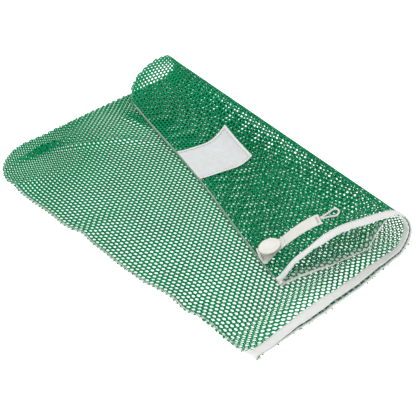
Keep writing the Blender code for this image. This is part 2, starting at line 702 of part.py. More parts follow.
def loop_points():
    """The elastic's teardrop path, out from the strap's end and back."""
    turn = np.linspace(-LOOP_TURN, LOOP_TURN, 15)
    radius = LOOP_WIDTH / 2
    tip = strap_length() + LOOP_LENGTH
    bend_s = tip - radius + radius * np.cos(turn)
    bend_x = radius * np.sin(turn)
    start = strap_length() + 2 * GAP
    neck = np.linspace(0.0, 1.0, 9)[:-1]
    leg_s = between(start, bend_s[0], neck)
    leg_x = between(-ELASTIC_RADIUS - GAP, bend_x[0], neck**1.7)
    s = np.concatenate([leg_s, bend_s, leg_s[::-1]])
    x = np.concatenate([leg_x, bend_x, -leg_x[::-1]])
    lift = ELASTIC_RADIUS - STRAP_THICKNESS / 2
    return strap_point(s, x - LOOP_LEAN * ((s - start) / LOOP_LENGTH) ** 1.5, lift)


def make_loop(loop):
    tube("elastic_loop", loop_points(), ELASTIC_RADIUS, ELASTIC, loop)


def pivots():
    """A point on each joint's axis."""
    clear = NET_THICKNESS / 2 + 2 * GAP + TAPE_THICKNESS
    fold = (ROLL_RADIUS_END + clear) * ACROSS + (0.0, FOLD_START) - PLAN_CENTRE
    over = STRAP_THICKNESS / 2
    return {
        "fold_pivot": (*fold, ROLL_RADIUS_END + NET_THICKNESS / 2),
        "strap_pivot": tuple(strap_point(STRAP_HINGE_AT, 0.0, over)),
        "loop_pivot": tuple(strap_point(strap_length() + GAP / 2, 0.0, over)),
        "button_pivot": tuple(button_frame()[0]),
    }


def build():
    pivot_of = {name: pivot(name, point) for name, point in pivots().items()}
    flap = pivot_of["fold_pivot"]
    make_nets(flap)
    make_seams(flap)
    make_bindings(flap)
    make_patch(flap)
    make_strap(flap, pivot_of["strap_pivot"])
    make_button(flap, pivot_of["button_pivot"])
    make_loop(pivot_of["loop_pivot"])


clear_scene()
PARTS = make_collection("mesh_produce_bag")
build()
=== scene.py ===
"""The looks of the mesh produce bag: knitted netting, overlocked seams, tape, patch, strap and button.

The bag lies on a table with its back half folded over its front half. Every piece is shaped by place(),
which gives the folded cloth's point at flat coordinates: u along the bag from its closed end, and v
across it from the front side seam. It repeats the CAD model's rule and adds the cloth's small waves.
Layer 0 is the outer panel, which lies on the table and is on top of the flap, and layer 1 the inner one.
"""

import math

import bpy
import numpy as np
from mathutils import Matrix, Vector


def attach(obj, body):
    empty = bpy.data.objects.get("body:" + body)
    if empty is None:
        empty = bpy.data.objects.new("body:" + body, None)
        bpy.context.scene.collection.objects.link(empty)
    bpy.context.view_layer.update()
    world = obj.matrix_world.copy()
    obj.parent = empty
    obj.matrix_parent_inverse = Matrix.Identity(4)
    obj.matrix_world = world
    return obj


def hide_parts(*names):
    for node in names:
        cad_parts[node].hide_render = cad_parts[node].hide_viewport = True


# The bag's shape, in metres and radians, as in the CAD model.
BAG_LENGTH = 0.610
BAG_WIDTH = 0.5675
PLAN_CENTRE = (0.3072, 0.20665)
NET_THICKNESS = 0.0014
TAPE_THICKNESS = 0.0005
GAP = 0.0003  # kept between neighbouring pieces
LAYER_PITCH = 0.0018  # from one panel's middle to the other's
MOUTH_PITCH = 0.0034  # and at the mouth, where the tapes turn over between them
MOUTH_LIFT = 0.0018  # how much further apart the panels of the base half stand there
MOUTH_LIFT_LENGTH = 0.055
MOUTH_BULGE = 0.0045  # how far the front part of the outer panel's mouth edge stands out
MOUTH_CURL = 0.0030  # and how far its back corner is drawn in
MOUTH_SETBACK = 0.004  # how far the inner panel's mouth edge is set back near the roll
FOLD_TURN = math.radians(10.8)
FOLD_START = 0.3967
ROLL_RADIUS_END = 0.0247
ROLL_RADIUS_MOUTH = 0.0304
FLAP_EDGE_HEIGHT = 0.0072
FLAP_EDGE_HEIGHT_ENDS = 0.0090
FLAP_EDGE_EASE = 0.08
FALL_END = 1.04
FALL_MIDDLE = 7.3
FALL_MOUTH = 0.8
MIDDLE_AT = 0.567
SHELF_MOUTH = 0.423
MOUTH_RISE_POWER = 0.405
GAPE_FROM = 0.317
INNER_FLOOR = 0.0108
INNER_DROP = 0.20
END_PULL = 0.0458
MOUTH_PULL = 0.016
END_DRAWN = 0.0050
END_DRAWN_AT = 0.125
END_DRAWN_WIDTH = 0.055
END_DRAWN_REACH = 0.10
FRONT_WAVES_REACH = 0.12
FRONT_WAVES = (  # along the front seam: place u, half-length, and how far out
    (0.095, 0.020, -0.0055), (0.225, 0.022, 0.0030), (0.262, 0.014, -0.0040), (0.370, 0.055, 0.0055),
    (0.405, 0.014, 0.0018), (0.483, 0.018, 0.0052), (0.578, 0.036, 0.0075),
)
FRONT_CORNER_RADIUS = 0.105
BACK_CORNER_RADIUS = 0.050
SEAM_WIDTH = 0.0045
BINDING_WIDTH = 0.0132
PATCH_SIZE = (0.0915, 0.0980)
PATCH_START = 0.2328
PATCH_SKEW = 0.0060
STRAP_WIDTH = 0.0222
STRAP_THICKNESS = 0.0011
STRAP_ROOT = (0.5451, 0.5675)
STRAP_TIP = (0.5676, 0.4690)
STRAP_ROOT_FLARE = 0.0400
STRAP_FLARE_LENGTH = 0.030
STRAP_HINGE_AT = 0.0445
BUTTON_AT = 0.0215
BUTTON_RADIUS = 0.0160
BUTTON_THICKNESS = 0.0042
BUTTON_CLEARANCE = 0.0060  # from the strap to the disc, along the disc's axis
BUTTON_LEAN = 0.85  # the upright direction's weight against the strap's normal
LOOP_LENGTH = 0.0295
LOOP_LEAN = 0.0080  # how far the elastic's tip lies to one side
LOOP_WIDTH = 0.0146
ELASTIC_RADIUS = 0.00135

SLICES = np.linspace(-0.08, BAG_LENGTH + 0.04, 49)
STEPS = np.linspace(0.0, 1.0, 161)
ALONG = np.array([math.cos(FOLD_TURN), -math.sin(FOLD_TURN)])
ACROSS = np.array([math.sin(FOLD_TURN), math.cos(FOLD_TURN)])

# The netting: a honeycomb of knitted strands.
NET_PITCH = 0.0080  # between the holes of one row, along the bag
NET_ROW = 0.0062  # between rows
HOLE_CORNER = 0.69  # how far a hole reaches towards its cell's corners
HOLE_SIDE = 0.74  # and towards the middles of its sides
STRAND_WIDTH = 0.0021
STRAND_THICKNESS = 0.00125
STUB = 0.0016  # how far the cut strands stand out of the seams
SHAGGY = 2.0  # how many times further again at the closed end of the roll
FRAY = (-0.0012, 0.0034)  # how far they stand out of the mouth's tapes, at least and at most
FRAY_AT_BEND = 0.0010  # and how much further at the inner panel's bend

# The overlocked seams.
THREAD = 0.00042  # radius
WRAP_PITCH = 0.0022  # from one turn to the next
WRAP_DEPTH = 0.0026  # how far in the turns reach
CLOSED_END_PITCH, CLOSED_END_THREAD = 1.7, 0.62  # times as far apart and as thick at the closed end

# The mouth's tapes.
TAPE_ROLLED = 0.40  # share of the width that rolls under
TAPE_PINCHED = 0.22  # and that is drawn in at the front corner
TAPE_TURN = 0.0026  # how far the binding turns over to a panel's inner face
TAPE_TURN_OUTER = 0.0024  # and on the outer panel's base half
BINDING_START = 0.0055  # v where the tapes start, beside the front seam
CORNER_DEPTH, CORNER_REACH = 0.0034, 0.0042  # the turned ends: middle from the border, and half-width
CORNER_FULL = 0.0006  # room inside them, above and below what they wrap
CORNER_OUT = 0.0026  # how far they stand out of the mouth
STITCH_PITCH = 0.0036
STITCH_LENGTH = 0.0030
STITCH_RADIUS = 0.00030


def smooth(x):
    x = np.clip(x, 0.0, 1.0)
    return x * x * (3.0 - 2.0 * x)


def between(a, b, share):
    return a + (b - a) * share


def at_mouth(share):
    """From 0 to 1 over the part of the length where the mouth's tapes thicken the stack."""
    return smooth((share - 0.80) / 0.10)


def roll_radius(a):
    return between(ROLL_RADIUS_END, ROLL_RADIUS_MOUTH, a / BAG_LENGTH)


def layer_pitch(a):
    return between(LAYER_PITCH, MOUTH_PITCH, at_mouth(a / BAG_LENGTH))


def flap_width(a):
    whole = (BAG_WIDTH - FOLD_START + a * math.sin(FOLD_TURN)) / math.cos(FOLD_TURN)
    return whole - math.pi * roll_radius(a)


def by_length(reach, height):
    """A slice's curve, resampled evenly by its length."""
    run = np.concatenate([[0.0], np.cumsum(np.hypot(np.diff(reach), np.diff(height)))])
    run /= run[-1]
    return np.stack([np.interp(STEPS, run, reach), np.interp(STEPS, run, height)], -1)


def flap_slice(a):
    """Both panels of the flap in the slice at a, each as distances back from the fold and heights."""
    share = min(max(a / BAG_LENGTH, 0.0), 1.0)
    rise = smooth((share - MIDDLE_AT) / (1.0 - MIDDLE_AT)) ** MOUTH_RISE_POWER
    fall = between(FALL_END, FALL_MIDDLE, smooth(share / MIDDLE_AT)) + (FALL_MOUTH - FALL_MIDDLE) * rise
    shelf = SHELF_MOUTH * rise
    y = np.clip((STEPS - shelf) / (1.0 - shelf), 0.0, 1.0)
    drop = (1.0 - y) ** fall * (1.0 + fall * y)
    ease = FLAP_EDGE_EASE
    drop = (np.sqrt(drop**2 + ease**2) - ease) / (math.sqrt(1.0 + ease**2) - ease)
    top = NET_THICKNESS / 2 + 2.0 * roll_radius(a)
    at_closed_end = 1.0 - smooth((share - 0.06) / 0.10)
    edge = between(FLAP_EDGE_HEIGHT, FLAP_EDGE_HEIGHT_ENDS, max(at_mouth(share), at_closed_end))
    pitch = layer_pitch(a)
    outer = between(edge, top, drop)
    reach = flap_width(a)
    for _ in range(12):
        reach *= flap_width(a) / np.hypot(np.diff(STEPS) * reach, np.diff(outer)).sum()
    slope = np.gradient(outer, STEPS * reach)
    stacked = outer - pitch * np.sqrt(1.0 + slope**2)
    lying = between(INNER_FLOOR, edge - pitch, STEPS)
    dropped = (1.0 - np.minimum(STEPS / INNER_DROP, 1.0) ** 2) ** 2
    hanging = between(lying, top - pitch, dropped)
    gape = smooth((share - GAPE_FROM) / (1.0 - GAPE_FROM))
    inner = np.minimum(between(stacked, hanging, gape), stacked)
    return by_length(-STEPS * reach, outer), by_length(-STEPS * reach, inner)


FLAP_TABLE = np.array([flap_slice(a) for a in SLICES])


def flap_lookup(a, share, layer):
    """The flap's distance back and height at the slice a and a share of its width."""
    i = np.clip((a - SLICES[0]) / (SLICES[1] - SLICES[0]), 0, len(SLICES) - 1.001)
    j = np.clip(share * (len(STEPS) - 1), 0, len(STEPS) - 1.001)
    i0, j0 = i.astype(int), j.astype(int)
    fi, fj = (i - i0)[..., None], (j - j0)[..., None]
    table = FLAP_TABLE[:, layer]
    near = between(table[i0, j0], table[i0, j0 + 1], fj)
    far = between(table[i0 + 1, j0], table[i0 + 1, j0 + 1], fj)
    return between(near, far, fi)


def near_mouth(u):
    return smooth((u - (BAG_LENGTH - MOUTH_LIFT_LENGTH)) / (0.6 * MOUTH_LIFT_LENGTH))


def base_pitch(u, v, a, t):
    at_roll = layer_pitch(a) * smooth(1.0 + t / 0.05)
    over_table = between(LAYER_PITCH, MOUTH_PITCH, near_mouth(u))
    lift = MOUTH_LIFT * near_mouth(u) * smooth(v / 0.08) * smooth(-t / 0.06)
    return np.maximum(over_table, at_roll) + lift


def from_corner(u, v, radius):
    """Distance inwards from two borders, u and v away, that meet in a round corner."""
    in_corner = np.hypot(np.maximum(radius - u, 0.0), np.maximum(radius - v, 0.0))
    return np.minimum(np.maximum(u, radius), np.maximum(v, radius)) - in_corner


def edge_rise(u, v):
    """How far both panels rise along the seams and the mouth, over what is sewn under them."""
    from_edge = from_corner(u, v, FRONT_CORNER_RADIUS) - SEAM_WIDTH
    from_edge = np.minimum(from_edge, BAG_LENGTH - u - BINDING_WIDTH)
    return 0.0009 * (1.0 - smooth((from_edge - 0.001) / 0.012))


def pulled(u, v):
    """u on the table: the back half is drawn towards the mouth."""
    share = np.clip((v - FOLD_START) / (BAG_WIDTH - FOLD_START), 0.0, 1.0)
    return u + share * between(END_PULL, MOUTH_PULL, u / BAG_LENGTH)


def front_sway(u, v):
    """How far the front seam's gentle waves move the cloth outwards."""
    out = sum(reach * np.exp(-(((u - at) / width) ** 2)) for at, width, reach in FRONT_WAVES)
    return out * (1.0 - smooth(v / FRONT_WAVES_REACH))


def end_sway(u, v):
    """How far the closed end is drawn inwards beside its front corner."""
    beside = np.exp(-(((v - END_DRAWN_AT) / END_DRAWN_WIDTH) ** 2))
    return END_DRAWN * beside * (1.0 - smooth(u / END_DRAWN_REACH))


def place(u, v, layer):
    """The point of a panel's middle surface at flat (u, v)."""
    u, v = np.broadcast_arrays(np.asarray(u, float), np.asarray(v, float))
    if np.any(v > BAG_WIDTH):
        inside = np.minimum(v, BAG_WIDTH)
        step = 0.002
        edge, before = place(u, inside, layer), place(u, inside - step, layer)
        return edge + (edge - before) / step * (v - inside)[..., None]
    flat = np.stack([pulled(u, v), v - FOLD_START], -1)
    a, t = flat @ ALONG, flat @ ACROSS
    outer_radius = roll_radius(a)
    pitch = layer_pitch(a) * layer
    radius = outer_radius - pitch
    angle = np.clip(t / radius, 0.0, math.pi)
    reach = np.where(t < 0, t, radius * np.sin(angle))
    rolled = outer_radius - radius * np.cos(angle)
    height = NET_THICKNESS / 2 + np.where(t < 0, layer * base_pitch(u, v, a, t), rolled)
    share = (t - math.pi * radius) / (flap_width(a) + math.pi * pitch)
    flap = flap_lookup(a, np.clip(share, 0.0, 1.0), layer)
    on_flap = t > math.pi * radius
    reach = np.where(on_flap, flap[..., 0], reach)
    height = np.where(on_flap, flap[..., 1], height) + edge_rise(u, v)
    plan = a[..., None] * ALONG + reach[..., None] * ACROSS
    x = plan[..., 0] - PLAN_CENTRE[0] + end_sway(u, v)
    y = plan[..., 1] + FOLD_START - PLAN_CENTRE[1] - front_sway(u, v)
    return np.stack([x, y, height], -1)


def normal(u, v, layer):
    step = 0.0015
    along = place(u + step, v, layer) - place(u - step, v, layer)
    across = place(u, v + step, layer) - place(u, v - step, layer)
    n = np.cross(along, across)
    return n / np.linalg.norm(n, axis=-1, keepdims=True)


def lifted(u, v, layer, lift):
    """place(), moved by lift along the normal: up on the base half and down on the flap."""
    u, v = np.broadcast_arrays(np.asarray(u, float), np.asarray(v, float))
    return place(u, v, layer) + np.asarray(lift)[..., None] * normal(u, v, layer)


def width_at(u, row, layer):
    """v of a row: 0 to 1 is the base, 1 to 2 the roll by angle, and 2 to 3 the flap."""
    u, row = np.broadcast_arrays(np.asarray(u, float), np.asarray(row, float))
    v = np.full(u.shape, FOLD_START)
    for _ in range(12):
        shifted = pulled(u, v)
        a = shifted * math.cos(FOLD_TURN) - (v - FOLD_START) * math.sin(FOLD_TURN)
        t = math.pi * (roll_radius(a) - layer_pitch(a) * layer) * np.clip(row - 1.0, 0.0, 1.0)
        v = FOLD_START + (t - shifted * math.sin(FOLD_TURN)) / math.cos(FOLD_TURN)
    v = np.where(row < 1.0, v * row, v)
    return np.where(row > 2.0, v + (BAG_WIDTH - v) * (row - 2.0), v)


def fold_line(u, layer):
    """v of the fold's outermost line, where the base half meets the flap half."""
    table_u = np.linspace(-0.05, BAG_LENGTH + 0.05, 60)
    return np.interp(u, table_u, width_at(table_u, 1.5, layer))


def mouth_edge(v, layer):
    """u of a panel's mouth edge."""
    towards_roll = smooth((v - 0.20) / 0.07)
    if layer == 0:
        bulge = MOUTH_BULGE * smooth(v / 0.15) * (1.0 - towards_roll)
        return BAG_LENGTH + bulge - MOUTH_CURL * smooth((v - 0.49) / 0.06)
    return BAG_LENGTH - MOUTH_SETBACK * towards_roll * (1.0 - smooth((v - FOLD_START) / 0.1))


def waves(u, v):
    """The cloth's small waves: how far both panels rise along their normal."""
    ripples = 0.0
    for u0, v0, angle, length, width, height in WRINKLES:
        c, s = math.cos(math.radians(angle)), math.sin(math.radians(angle))
        along, across = (u - u0) * c + (v - v0) * s, (v - v0) * c - (u - u0) * s
        ripples = ripples + height * np.exp(-((along / length) ** 2) - (across / width) ** 2)
    return ripples


# Small folds pressed into the netting: place (u, v), direction, half-length, half-width and height.
WRINKLES = (
    (0.040, 0.096, 93.0, 0.042, 0.0050, 0.0100),
    (0.074, 0.262, 4.0, 0.024, 0.0060, 0.0030),
    (0.070, 0.150, 60.0, 0.050, 0.0070, 0.0040),
    (0.110, 0.215, 35.0, 0.045, 0.0080, 0.0025),
)


def cloth(u, v, layer, lift=0.0):
    """lifted(), with the waves."""
    return lifted(u, v, layer, waves(u, v) + lift)


# Mesh helpers. Each mesh keeps its flat coordinates, for the weaves of its material.


def new_object(name, points, faces, flat=None):
    mesh = bpy.data.meshes.new(name)
    mesh.from_pydata(points.reshape(-1, 3).tolist(), [], faces)
    if flat is not None:
        attribute = mesh.attributes.new("flat", "FLOAT_VECTOR", "POINT")
        attribute.data.foreach_set("vector", np.asarray(flat, np.float32).ravel())
    mesh.shade_smooth()
    mesh.update()
    ob = bpy.data.objects.new(name, mesh)
    bpy.context.scene.collection.objects.link(ob)
    return ob


def finish_piece(ob, mat, body, slot, *nodes):
    ob.data.materials.append(mat)
    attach(ob, body)
    if nodes:
        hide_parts(*nodes)
    return ob


def grid_faces(rows, columns):
    i, j = np.meshgrid(np.arange(rows - 1), np.arange(columns - 1), indexing="ij")
    a = (i * columns + j).ravel()
    return np.stack([a, a + columns, a + columns + 1, a + 1], -1).tolist()


def tape(name, points, thickness, flat, soften=1):
    """A strip of cloth through points[i][j], with its thickness and rounded edges."""
    rows, columns = points.shape[:2]
    ob = new_object(name, points, grid_faces(rows, columns), flat.reshape(-1, 3))
    solid = ob.modifiers.new("thickness", "SOLIDIFY")
    solid.thickness = thickness
    solid.offset = 0.0
    if soften:
        round_off = ob.modifiers.new("soft_edges", "SUBSURF")
        round_off.levels = round_off.render_levels = soften
    return ob


def flat_of(u, v):
    u, v = np.broadcast_arrays(u, v)
    return np.stack([u, v, 0.0 * u], -1)


def sweep(name, paths, radius, ref, sides=6):
    """Round threads along paths[n][k]. ref is a direction that no path runs along."""
    paths = np.asarray(paths, float)
    ref = np.broadcast_to(ref, paths.shape)
    tangent = np.gradient(paths, axis=1)
    side = np.cross(tangent, ref)
    side /= np.linalg.norm(side, axis=-1, keepdims=True)
    up = np.cross(side, tangent)
    up /= np.linalg.norm(up, axis=-1, keepdims=True)
    turn = np.arange(sides) * 2 * math.pi / sides
    ring = np.cos(turn)[:, None] * side[..., None, :] + np.sin(turn)[:, None] * up[..., None, :]
    points = paths[..., None, :] + radius * ring
    count, length = paths.shape[:2]
    n, k, s = np.meshgrid(np.arange(count), np.arange(length - 1), np.arange(sides), indexing="ij")
    base = (n * length + k) * sides
    a, b = base + s, base + (s + 1) % sides
    faces = np.stack([a, b, b + sides, a + sides], -1).reshape(-1, 4).tolist()
    for start in range(count):
        first = start * length * sides
        last = first + (length - 1) * sides
        faces.append(list(range(first, first + sides))[::-1])
        faces.append(list(range(last, last + sides)))
    return new_object(name, points, faces)


# The netting. The lattice's nodes are the tops and the bottoms of its cells, and every strand joins
# a top to a bottom. A strand is thickest along its middle and thins towards the two holes beside it.


def drift(flat, layer):
    """The knit's own unevenness, and how the inner panel's holes lie off the outer panel's."""
    u, v = flat[..., 0], flat[..., 1]
    du = 0.0009 * np.sin(9.0 * v + 21.0 * u) + 0.0006 * np.sin(31.0 * v - 17.0 * u)
    dv = 0.0009 * np.sin(14.0 * u + 5.0 * v) + 0.0006 * np.sin(27.0 * u - 22.0 * v)
    if layer:
        end = 1.0 - smooth(u / 0.24)
        mouth = smooth((u - 0.48) / 0.12)
        over = smooth((v - FOLD_START - 0.03) / 0.03)
        du = du + 0.0010 + 0.0034 * end * np.cos(9.0 * v - 0.4)
        du = du + (0.0002 + 0.0012 * over) * mouth + 0.0022 * over
        dv = dv + 0.0004 + 0.0016 * end * np.sin(11.0 * v + 8.0 * u) + 0.0007 * mouth + 0.0018 * over
    return flat + np.stack([du, dv], -1)


def openness(flat):
    """How wide the holes stand: the cloth is slack at its closed end and taut towards its mouth."""
    u, v = flat[..., 0], flat[..., 1]
    over = smooth((v - FOLD_START + 0.02) / 0.06)
    slack = 1.0 - smooth((u - 0.08) / 0.36)
    bunched = 1.0 - smooth((u - 0.004) / 0.032)
    taut = smooth((u - 0.42) / 0.14)
    opened = 1.0 - slack * (0.07 + 0.11 * over) - bunched * (0.05 + 0.22 * over) + 0.05 * taut
    for u0, v0, length, width, closed in CREASES:
        opened = opened - closed * np.exp(-(((u - u0) / length) ** 2) - ((v - v0) / width) ** 2)
    return opened


# Creases that draw the holes shut: place (u, v), half-length along u, half-width along v, and how far.
CREASES = (
    (0.043, 0.100, 0.008, 0.042, 0.22),
    (0.078, 0.275, 0.028, 0.010, 0.34),
)


def lattice(layer):
    """Hole centres, nodes, each node's three holes, and each strand's ends with their hole slots."""
    columns, rows = int(BAG_LENGTH / NET_PITCH) + 6, int(BAG_WIDTH / NET_ROW) + 6
    i, j = np.meshgrid(np.arange(columns), np.arange(rows), indexing="ij")
    centres = np.stack([(i - 2 + 0.5 * (j % 2)) * NET_PITCH, (j - 2) * NET_ROW], -1)
    reach = (0.0, NET_ROW * 2 / 3)
    nodes = np.concatenate([(centres + reach).reshape(-1, 2), (centres - reach).reshape(-1, 2)])
    rng = np.random.default_rng(5 + layer)
    nodes = drift(nodes, layer) + rng.normal(0.0, 0.00010, nodes.shape)
    centres = drift(centres.reshape(-1, 2), layer)

    cells = columns * rows

    def cell(i, j):
        return np.clip(i, 0, columns - 1) * rows + np.clip(j, 0, rows - 1)

    left, right = i - 1 + j % 2, i + j % 2
    above = [cell(i, j), cell(left, j + 1), cell(right, j + 1)]
    below = [cell(i, j), cell(left, j - 1), cell(right, j - 1)]
    holes = np.concatenate([np.stack([x.ravel() for x in y], -1) for y in (above, below)])

    inner = (i > 0) & (i < columns - 1) & (j < rows - 2)
    top = cell(i, j)[inner]
    upper_left, upper_right, upper = above[1][inner], above[2][inner], cell(i, j + 2)[inner]
    # Each strand: its top, its bottom, and the slots of the left and right hole at both ends.
    strands = [
        (top, cells + upper_right, (2, 0), (0, 1)),
        (top, cells + upper_left, (0, 1), (2, 0)),
        (top, cells + upper, (1, 2), (1, 2)),
    ]
    p = np.concatenate([s[0] for s in strands])
    q = np.concatenate([s[1] for s in strands])
    slots = np.concatenate([np.tile((*s[2], *s[3]), (len(top), 1)) for s in strands])
    return centres, nodes, holes, p, q, slots


def inside(flat, half, layer, stub, frayed):
    """Distance inwards from a half panel's nearest border, past which cut strands stick out.

    stub is how far they do so at the seams, and frayed how far at the mouth.
    """
    u, v = flat[:, 0], flat[:, 1]
    over_mouth = mouth_edge(v, layer) - 0.0006 + frayed - u
    from_fold = fold_line(u, layer) - v
    if half == "base":
        sides = from_corner(u, v, FRONT_CORNER_RADIUS) + stub
        return np.minimum(np.minimum(sides, over_mouth), from_fold)
    sides = from_corner(u, BAG_WIDTH - v, BACK_CORNER_RADIUS) + stub
    return np.minimum(np.minimum(sides, over_mouth), -from_fold)


def netting(name, half, layer):
    centres, nodes, holes, p, q, slots = lattice(layer)
    rng = np.random.default_rng(17 + layer)
    at_roll_end = smooth((nodes[:, 1] - 0.34) / 0.04) * (1.0 - smooth(nodes[:, 0] / 0.06))
    shaggy = 1.0 + at_roll_end * SHAGGY
    stub = rng.uniform(0.2, 1.3, len(nodes)) * STUB * shaggy
    bound = nodes[:, 0] > BAG_LENGTH - BINDING_WIDTH - 0.004
    frayed = rng.uniform(*FRAY, len(nodes))
    if layer:
        at_bend = (half == "flap") * (1.0 - smooth((nodes[:, 1] - 0.47) / 0.03))
        frayed = (frayed + FRAY_AT_BEND) * at_bend
    depth = inside(nodes, half, layer, np.where(bound, -0.0006, stub), frayed)
    keep = (depth[p] > 0) | (depth[q] > 0)
    p, q, slots = p[keep], q[keep], slots[keep]
    in_p, in_q = depth[p] > 0, depth[q] > 0
    share = np.maximum(depth[p], depth[q]) / (np.abs(depth[p]) + np.abs(depth[q]))
    share = np.where(in_p & in_q, 1.0, share)[:, None]

    # The vertices, in the order of their numbers.
    count, total = len(nodes), len(p)
    opened = openness(centres)[:, None]
    gap = centres[holes] + HOLE_CORNER * opened[holes] * (nodes[:, None] - centres[holes])
    near = np.where(in_p[:, None], nodes[p], nodes[q])
    far = np.where(in_p[:, None], nodes[q], nodes[p])
    end = near + share * (far - near)
    along = nodes[q] - nodes[p]
    along /= np.linalg.norm(along, axis=1, keepdims=True)
    side = np.stack([-along[:, 1], along[:, 0]], -1) * STRAND_WIDTH / 2
    left, right = holes[p, slots[:, 0]], holes[p, slots[:, 1]]
    middle = (nodes[p] + nodes[q]) / 2
    whole = (in_p & in_q)[:, None]
    cut_middle = near + 0.5 * share * (far - near)
    beside_left = centres[left] + HOLE_SIDE * opened[left] * (middle - centres[left])
    beside_right = centres[right] + HOLE_SIDE * opened[right] * (middle - centres[right])
    mid_left = np.where(whole, beside_left, cut_middle + side)
    mid_right = np.where(whole, beside_right, cut_middle - side)
    flat = np.concatenate([
        nodes, nodes, gap.reshape(-1, 2), mid_left, mid_right, end, end, end + side, end - side,
    ])
    ridge = STRAND_THICKNESS / 2
    lift = np.zeros(len(flat))
    lift[:count], lift[count : 2 * count] = ridge, -ridge
    cuts = 5 * count + 2 * total
    lift[cuts : cuts + total], lift[cuts + total : cuts + 2 * total] = ridge, -ridge

    # Each end of each strand: its upper, lower, left and right vertex.
    s = np.arange(total)
    at_cut = [cuts + s, cuts + total + s, cuts + 2 * total + s, cuts + 3 * total + s]
    ends = []
    for node, there, first in ((p, in_p, 0), (q, in_q, 2)):
        own = [
            node, count + node,
            2 * count + 3 * node + slots[:, first], 2 * count + 3 * node + slots[:, first + 1],
        ]
        ends.append([np.where(there, a, b) for a, b in zip(own, at_cut)])
    (pt, pb, pl, pr), (qt, qb, ql, qr) = ends
    ml, mr = 5 * count + s, 5 * count + total + s
    faces = np.concatenate([
        np.stack([pt, qt, ql, ml, pl], -1), np.stack([qt, pt, pr, mr, qr], -1),
        np.stack([qb, pb, pl, ml, ql], -1), np.stack([pb, qb, qr, mr, pr], -1),
    ])
    caps = np.concatenate([
        np.stack([qt, qr, qb, ql], -1)[~in_q], np.stack([pt, pl, pb, pr], -1)[~in_p],
    ])
    used = np.unique(np.concatenate([faces.ravel(), caps.ravel()]))
    number = np.full(len(flat), -1)
    number[used] = np.arange(len(used))
    flat, lift = flat[used], lift[used]
    points = cloth(flat[:, 0], flat[:, 1], layer, lift)
    faces = number[faces].tolist() + number[caps].tolist()
    return new_object(name, points, faces, flat_of(flat[:, 0], flat[:, 1]))


def make_nets():
    for half, body in (("base", "bag_base"), ("flap", "flap")):
        for layer, which in enumerate(("outer", "inner")):
            node = f"{half}_{which}_net"
            ob = netting(f"{half}_{which}_netting", half, layer)
            finish_piece(ob, NET, body, "green_netting", node)


# The overlocked seams: a thread wound round both panels' edges.


def seam_paths():
    """Each seam: its node, body, length, and (u, v) from the distance along it and the depth in."""
    front, back = FRONT_CORNER_RADIUS, BACK_CORNER_RADIUS
    fold_at_end = float(fold_line(0.003, 0))
    last = BAG_LENGTH - BINDING_WIDTH - 0.002

    def round_corner(s, depth, radius):
        """From one border's straight part, round its corner and on along the other border."""
        angle = np.clip(s / radius, 0.0, math.pi / 2)
        past = np.maximum(s - radius * math.pi / 2, 0.0)
        bend = radius - depth
        return radius - bend * np.sin(angle), radius - bend * np.cos(angle) + past

    def base_end(s, depth):
        return round_corner(s, depth, front)

    def flap_end(s, depth):
        u, from_side = round_corner(s, depth, back)
        return u, BAG_WIDTH - from_side

    corners = front * (math.pi / 2 - 1.0), back * (math.pi / 2 - 1.0)
    return (
        ("front_side_seam", "bag_base", last - front, lambda s, d: (front + s, d)),
        ("base_end_seam", "bag_base", fold_at_end + corners[0], base_end),
        ("flap_end_seam", "flap", BAG_WIDTH - fold_at_end + corners[1], flap_end),
        ("back_side_seam", "flap", last - back, lambda s, d: (back + s, BAG_WIDTH - d)),
    )


def both_panels(u, v, lift):
    """A point lift away from the middle between the two panels, along their normal."""
    centre = (cloth(u, v, 0) + cloth(u, v, 1)) / 2
    return centre + np.asarray(lift)[..., None] * normal(u, v, 0)


def make_seams():
    for node, body, length, path in seam_paths():
        closed_end = "end" in node
        pitch, thread = WRAP_PITCH, THREAD
        if closed_end:
            pitch, thread = CLOSED_END_PITCH * WRAP_PITCH, CLOSED_END_THREAD * THREAD
        turns = int(length / pitch)
        s = np.linspace(0.0, length, turns * 9 + 1)
        phase = np.linspace(0.0, 2 * math.pi * turns, len(s))
        rng = np.random.default_rng(len(node))
        uneven = np.interp(s, np.linspace(0, length, turns + 1), rng.normal(0, 0.00022, turns + 1))
        depth = (WRAP_DEPTH - 0.0006) / 2 + (WRAP_DEPTH / 2 + uneven) * np.cos(phase)
        high = (LAYER_PITCH + NET_THICKNESS) / 2 + thread
        u, v = path(s, depth)
        points = both_panels(u, v, high * np.sin(phase))
        u, v = path(s, 0.0 * s + 0.001)
        axis = np.gradient(both_panels(u, v, 0.0 * s), axis=0)
        ob = sweep(node + "_thread", points[None], thread, axis[None], sides=5)
        finish_piece(ob, THREAD_MAT, body, "overlock_thread", node)


# The bindings: a tape on each panel's outside face, turned over the mouth edge.


def mouth_line(half, layer):
    """v along a panel's mouth edge."""
    fold = float(fold_line(BAG_LENGTH - 0.004, layer))
    first, last = (BINDING_START, fold) if half == "base" else (fold, BAG_WIDTH + 0.0012 - 0.0067 * layer)
    return np.linspace(first, last, int((last - first) / 0.003))


def tape_share(v, layer):
    """The tape's width on show: it rolls under at the back corner and, on the inner panel, at the roll."""
    if layer == 0:
        return 1.0 - TAPE_ROLLED * smooth((v - 0.46) / 0.08)
    pinched = TAPE_PINCHED * (1.0 - smooth((v - 0.02) / 0.05))
    return 1.0 - pinched - TAPE_ROLLED * smooth((v - 0.12) / 0.20) * (1.0 - smooth((v - 0.41) / 0.08))


